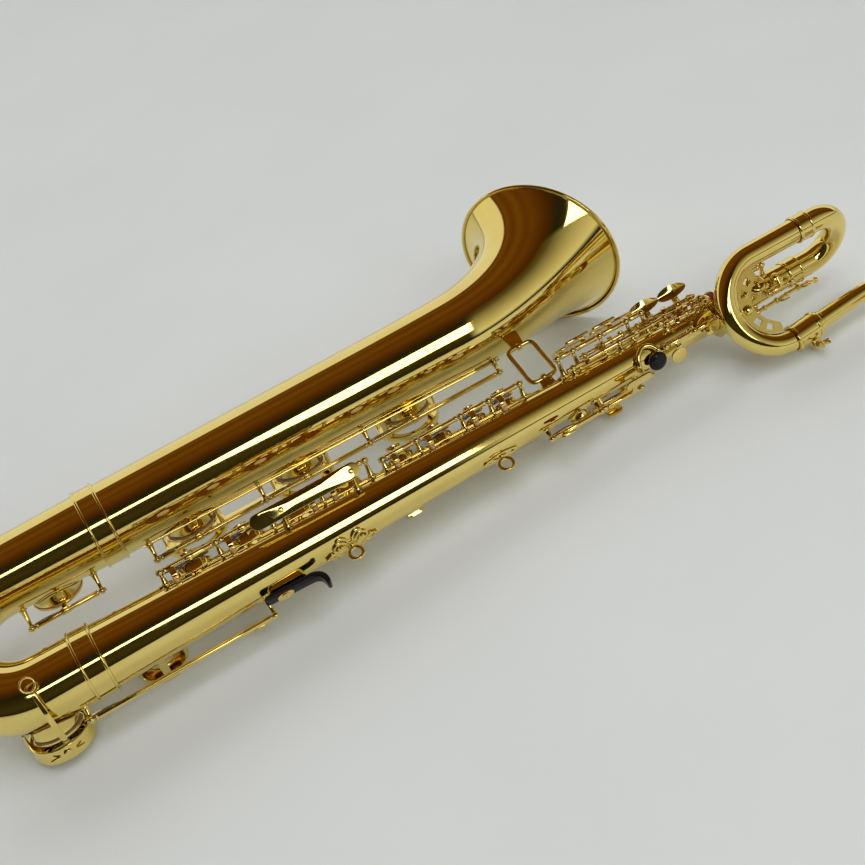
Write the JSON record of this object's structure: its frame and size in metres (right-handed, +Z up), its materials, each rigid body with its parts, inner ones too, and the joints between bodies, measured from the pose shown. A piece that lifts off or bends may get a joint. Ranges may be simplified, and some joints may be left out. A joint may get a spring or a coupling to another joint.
{
  "type": "baritone saxophone",
  "caption": "Large curved conical brass wind instrument with sprung keys over its tone holes and a swivelling neck, lying on its side as it rests in a case.",
  "frame": {"origin": "middle of the bounding box at the surface that the instrument lies on", "axes": "+X runs up the body tube from the bow to the neck, +Y from the body tube towards the bell, +Z up from the surface it lies on"},
  "size_m": [1.0392, 0.4138, 0.1791],
  "materials": {
    "lacquer": "clear gold lacquer over polished brass",
    "key_brass": "clear gold lacquer over polished brass keywork",
    "nickel": "polished nickel plate",
    "black_plastic": "glossy moulded black plastic",
    "cork": "sanded natural cork"
  },
  "bodies": {
    "instrument": {"body_tube": "lacquer", "bow": "lacquer", "bell": "lacquer", "upper_bow": "lacquer", "crook": "lacquer", "body_bow_ring": "lacquer", "bell_bow_ring": "lacquer", "body_top_ring": "lacquer", "upper_bow_ring": "lacquer", "neck_receiver": "lacquer", "bell_brace": "lacquer", "crook_brace": "lacquer", "body_collar": "lacquer", "upper_strap_ring": "lacquer", "lower_strap_ring": "lacquer", "thumb_rest": "black_plastic", "thumb_hook_plate": "lacquer", "clothes_guard": "lacquer", "low_c_guard": "lacquer", "low_e_flat_guard": "lacquer", "bell_key_guard": "lacquer", "low_a_guard": "lacquer", "lower_stack_rib": "lacquer", "upper_stack_rib": "lacquer", "table_rib": "lacquer", "low_e_flat_rib": "lacquer", "bell_rib": "lacquer"},
    "key_d": {"key_d": "key_brass"},
    "key_e": {"key_e": "key_brass"},
    "key_f": {"key_f": "key_brass"},
    "key_g": {"key_g": "key_brass"},
    "key_a": {"key_a": "key_brass"},
    "key_b": {"key_b": "key_brass"},
    "key_bis": {"key_bis": "key_brass"},
    "key_f_sharp": {"key_f_sharp": "key_brass"},
    "key_g_sharp": {"key_g_sharp": "key_brass"},
    "key_side_b_flat": {"key_side_b_flat": "key_brass"},
    "key_side_c": {"key_side_c": "key_brass"},
    "key_high_e": {"key_high_e": "key_brass"},
    "key_palm_d": {"key_palm_d": "key_brass"},
    "key_palm_e_flat": {"key_palm_e_flat": "key_brass"},
    "key_palm_f": {"key_palm_f": "key_brass"},
    "octave_vent_key": {"octave_vent_key": "key_brass"},
    "octave_lever": {"octave_lever": "key_brass"},
    "upper_octave_key": {"upper_octave_key": "key_brass"},
    "key_low_e_flat": {"key_low_e_flat": "key_brass"},
    "key_low_c": {"key_low_c": "key_brass"},
    "key_low_c_sharp": {"key_low_c_sharp": "key_brass"},
    "key_low_b": {"key_low_b": "key_brass"},
    "key_low_b_flat": {"key_low_b_flat": "key_brass"},
    "key_low_a": {"key_low_a": "key_brass"},
    "thumb_hook": {"thumb_hook": "black_plastic"},
    "low_a_lever": {"low_a_lever": "key_brass"},
    "neck_screw": {"neck_screw": "nickel"},
    "neck": {"neck": "lacquer", "neck_cork": "cork"},
    "b_lever": {"b_lever": "key_brass"},
    "g_sharp_lever": {"g_sharp_lever": "key_brass"},
    "c_sharp_lever": {"c_sharp_lever": "key_brass"},
    "b_flat_lever": {"b_flat_lever": "key_brass"}
  },
  "joints": [
    {"name": "key_d_hinge", "type": "hinge", "parent": "instrument", "child": "key_d", "pos_m": [-0.25067, -0.02814, 0.09919], "axis": [-0.9995, -0.0099, 0.03], "range_deg": [0, 13], "stiffness_Nm_per_rad": 0.6, "springref_deg": -8.59},
    {"name": "key_e_hinge", "type": "hinge", "parent": "instrument", "child": "key_e", "pos_m": [-0.19419, -0.02758, 0.0975], "axis": [-0.9995, -0.0099, 0.03], "range_deg": [0, 13], "stiffness_Nm_per_rad": 0.6, "springref_deg": -8.59},
    {"name": "key_f_hinge", "type": "hinge", "parent": "instrument", "child": "key_f", "pos_m": [-0.14022, -0.02704, 0.09588], "axis": [-0.9995, -0.0099, 0.03], "range_deg": [0, 13], "stiffness_Nm_per_rad": 0.6, "springref_deg": -8.59},
    {"name": "key_g_hinge", "type": "hinge", "parent": "instrument", "child": "key_g", "pos_m": [-0.02695, -0.02932, 0.08546], "axis": [-0.9995, -0.0099, 0.03], "range_deg": [0, 13], "stiffness_Nm_per_rad": 0.6, "springref_deg": -8.59},
    {"name": "key_a_hinge", "type": "hinge", "parent": "instrument", "child": "key_a", "pos_m": [0.01702, -0.02888, 0.08414], "axis": [-0.9995, -0.0099, 0.03], "range_deg": [0, 13], "stiffness_Nm_per_rad": 0.6, "springref_deg": -8.59},
    {"name": "key_b_hinge", "type": "hinge", "parent": "instrument", "child": "key_b", "pos_m": [0.09199, -0.02814, 0.08189], "axis": [-0.9995, -0.0099, 0.03], "range_deg": [0, 13], "stiffness_Nm_per_rad": 0.6, "springref_deg": -8.59},
    {"name": "key_bis_hinge", "type": "hinge", "parent": "instrument", "child": "key_bis", "pos_m": [0.058, -0.02848, 0.08291], "axis": [-0.9995, -0.0099, 0.03], "range_deg": [0, 13], "stiffness_Nm_per_rad": 0.6, "springref_deg": -8.59},
    {"name": "key_f_sharp_hinge", "type": "hinge", "parent": "instrument", "child": "key_f_sharp", "pos_m": [-0.08775, -0.02652, 0.0943], "axis": [-0.9995, -0.0099, 0.03], "range_deg": [0, 13], "stiffness_Nm_per_rad": 0.6, "springref_deg": -8.59},
    {"name": "key_g_sharp_hinge", "type": "hinge", "parent": "instrument", "child": "key_g_sharp", "pos_m": [0.01605, -0.02571, 0.01944], "axis": [-0.9995, -0.0099, 0.03], "range_deg": [0, 11], "stiffness_Nm_per_rad": 0.6, "springref_deg": -8.59},
    {"name": "key_side_b_flat_hinge", "type": "hinge", "parent": "instrument", "child": "key_side_b_flat", "pos_m": [0.02812, -0.03535, 0.01814], "axis": [-0.9995, -0.0099, 0.03], "range_deg": [0, 11], "stiffness_Nm_per_rad": 0.6, "springref_deg": -8.59},
    {"name": "key_side_c_hinge", "type": "hinge", "parent": "instrument", "child": "key_side_c", "pos_m": [0.13995, -0.06937, 0.03278], "axis": [-0.9995, -0.0099, 0.03], "range_deg": [0, 11], "stiffness_Nm_per_rad": 0.6, "springref_deg": -8.59},
    {"name": "key_high_e_hinge", "type": "hinge", "parent": "instrument", "child": "key_high_e", "pos_m": [0.20025, -0.04485, 0.01664], "axis": [-0.9995, -0.0099, 0.03], "range_deg": [0, 11], "stiffness_Nm_per_rad": 0.6, "springref_deg": -8.59},
    {"name": "key_palm_d_hinge", "type": "hinge", "parent": "instrument", "child": "key_palm_d", "pos_m": [0.27231, -0.01767, 0.05972], "axis": [0.9995, 0.0099, -0.03], "range_deg": [0, 12], "stiffness_Nm_per_rad": 0.6, "springref_deg": -8.59},
    {"name": "key_palm_e_flat_hinge", "type": "hinge", "parent": "instrument", "child": "key_palm_e_flat", "pos_m": [0.30379, -0.01735, 0.05878], "axis": [0.9995, 0.0099, -0.03], "range_deg": [0, 12], "stiffness_Nm_per_rad": 0.6, "springref_deg": -8.59},
    {"name": "key_palm_f_hinge", "type": "hinge", "parent": "instrument", "child": "key_palm_f", "pos_m": [0.37076, -0.03828, 0.06623], "axis": [-0.9995, -0.0099, 0.03], "range_deg": [0, 12], "stiffness_Nm_per_rad": 0.6, "springref_deg": -8.59},
    {"name": "octave_vent_key_hinge", "type": "hinge", "parent": "instrument", "child": "octave_vent_key", "pos_m": [0.30659, -0.06103, 0.05412], "axis": [-0.9995, -0.0099, 0.03], "range_deg": [0, 10], "stiffness_Nm_per_rad": 0.6, "springref_deg": -8.59},
    {"name": "octave_lever_hinge", "type": "hinge", "parent": "instrument", "child": "octave_lever", "pos_m": [0.2746, -0.06135, 0.05508], "axis": [0.9995, 0.0099, -0.03], "range_deg": [0, 10], "stiffness_Nm_per_rad": 0.6, "springref_deg": -8.59},
    {"name": "upper_octave_key_hinge", "type": "hinge", "parent": "instrument", "child": "upper_octave_key", "pos_m": [0.39739, -0.0604, 0.04628], "axis": [0.9995, 0.0099, -0.03], "range_deg": [0, 10], "stiffness_Nm_per_rad": 0.6, "springref_deg": -8.59},
    {"name": "key_low_e_flat_hinge", "type": "hinge", "parent": "instrument", "child": "key_low_e_flat", "pos_m": [-0.27586, -0.00718, 0.03355], "axis": [0.9995, 0.0099, -0.03], "range_deg": [0, 9], "stiffness_Nm_per_rad": 0.6, "springref_deg": -8.59},
    {"name": "key_low_c_hinge", "type": "hinge", "parent": "instrument", "child": "key_low_c", "pos_m": [-0.30226, -0.07962, 0.02983], "axis": [0.9995, 0.0099, -0.03], "range_deg": [0, 12], "stiffness_Nm_per_rad": 0.6, "springref_deg": -8.59},
    {"name": "key_low_c_sharp_hinge", "type": "hinge", "parent": "instrument", "child": "key_low_c_sharp", "pos_m": [-0.3745, 0.04046, 0.06284], "axis": [-0.9995, -0.0099, 0.03], "range_deg": [0, 10], "stiffness_Nm_per_rad": 0.6, "springref_deg": -8.59},
    {"name": "key_low_b_hinge", "type": "hinge", "parent": "instrument", "child": "key_low_b", "pos_m": [-0.21708, 0.04202, 0.05812], "axis": [0.9995, 0.0099, -0.03], "range_deg": [0, 10], "stiffness_Nm_per_rad": 0.6, "springref_deg": -8.59},
    {"name": "key_low_b_flat_hinge", "type": "hinge", "parent": "instrument", "child": "key_low_b_flat", "pos_m": [-0.09664, 0.04322, 0.05451], "axis": [0.9995, 0.0099, -0.03], "range_deg": [0, 10], "stiffness_Nm_per_rad": 0.6, "springref_deg": -8.59},
    {"name": "key_low_a_hinge", "type": "hinge", "parent": "instrument", "child": "key_low_a", "pos_m": [0.04079, 0.04459, 0.05039], "axis": [0.9995, 0.0099, -0.03], "range_deg": [0, 10], "stiffness_Nm_per_rad": 0.6, "springref_deg": -8.59},
    {"name": "thumb_hook_slide", "type": "slide", "parent": "instrument", "child": "thumb_hook", "axis": [0.9995, 0.0099, -0.03], "range_m": [-0.004, 0.004]},
    {"name": "low_a_lever_hinge", "type": "hinge", "parent": "instrument", "child": "low_a_lever", "pos_m": [0.19679, -0.06476, 0.0283], "axis": [-0.9995, -0.0099, 0.03], "range_deg": [0, 10], "stiffness_Nm_per_rad": 0.6, "springref_deg": -8.59},
    {"name": "neck_screw_turn", "type": "hinge", "parent": "instrument", "child": "neck_screw", "pos_m": [0.39093, -0.1217, 0.0081], "axis": [-0.0258, 0.8033, -0.5951], "continuous": true},
    {"name": "neck_swivel", "type": "hinge", "parent": "instrument", "child": "neck", "pos_m": [0.39844, -0.10999, 0.02359], "axis": [0.9983, 0.0514, 0.0261], "range_deg": [-60, 60]},
    {"name": "b_lever_hinge", "type": "hinge", "parent": "instrument", "child": "b_lever", "pos_m": [0.16506, -0.02705, 0.08339], "axis": [-0.9995, -0.0099, 0.03], "range_deg": [0, 9], "stiffness_Nm_per_rad": 0.6, "springref_deg": -8.59},
    {"name": "g_sharp_lever_hinge", "type": "hinge", "parent": "instrument", "child": "g_sharp_lever", "pos_m": [0.19004, -0.0268, 0.08264], "axis": [-0.9995, -0.0099, 0.03], "range_deg": [0, 9], "stiffness_Nm_per_rad": 0.6, "springref_deg": -8.59},
    {"name": "c_sharp_lever_hinge", "type": "hinge", "parent": "instrument", "child": "c_sharp_lever", "pos_m": [0.22203, -0.02649, 0.08168], "axis": [-0.9995, -0.0099, 0.03], "range_deg": [0, 9], "stiffness_Nm_per_rad": 0.6, "springref_deg": -8.59},
    {"name": "b_flat_lever_hinge", "type": "hinge", "parent": "instrument", "child": "b_flat_lever", "pos_m": [0.24702, -0.02624, 0.08093], "axis": [-0.9995, -0.0099, 0.03], "range_deg": [0, 9], "stiffness_Nm_per_rad": 0.6, "springref_deg": -8.59}
  ],
  "couplings": [
    {"joint": "key_f_sharp_hinge", "follows": "key_f_hinge", "ratio": 1},
    {"joint": "key_g_sharp_hinge", "follows": "g_sharp_lever_hinge", "ratio": 1.2222},
    {"joint": "octave_vent_key_hinge", "follows": "octave_lever_hinge", "ratio": 1},
    {"joint": "upper_octave_key_hinge", "follows": "octave_lever_hinge", "ratio": 1},
    {"joint": "key_low_c_sharp_hinge", "follows": "c_sharp_lever_hinge", "ratio": 1.1111},
    {"joint": "key_low_b_hinge", "follows": "b_lever_hinge", "ratio": 1.1111},
    {"joint": "key_low_b_flat_hinge", "follows": "b_flat_lever_hinge", "ratio": 1.1111},
    {"joint": "key_low_a_hinge", "follows": "low_a_lever_hinge", "ratio": 1}
  ]
}
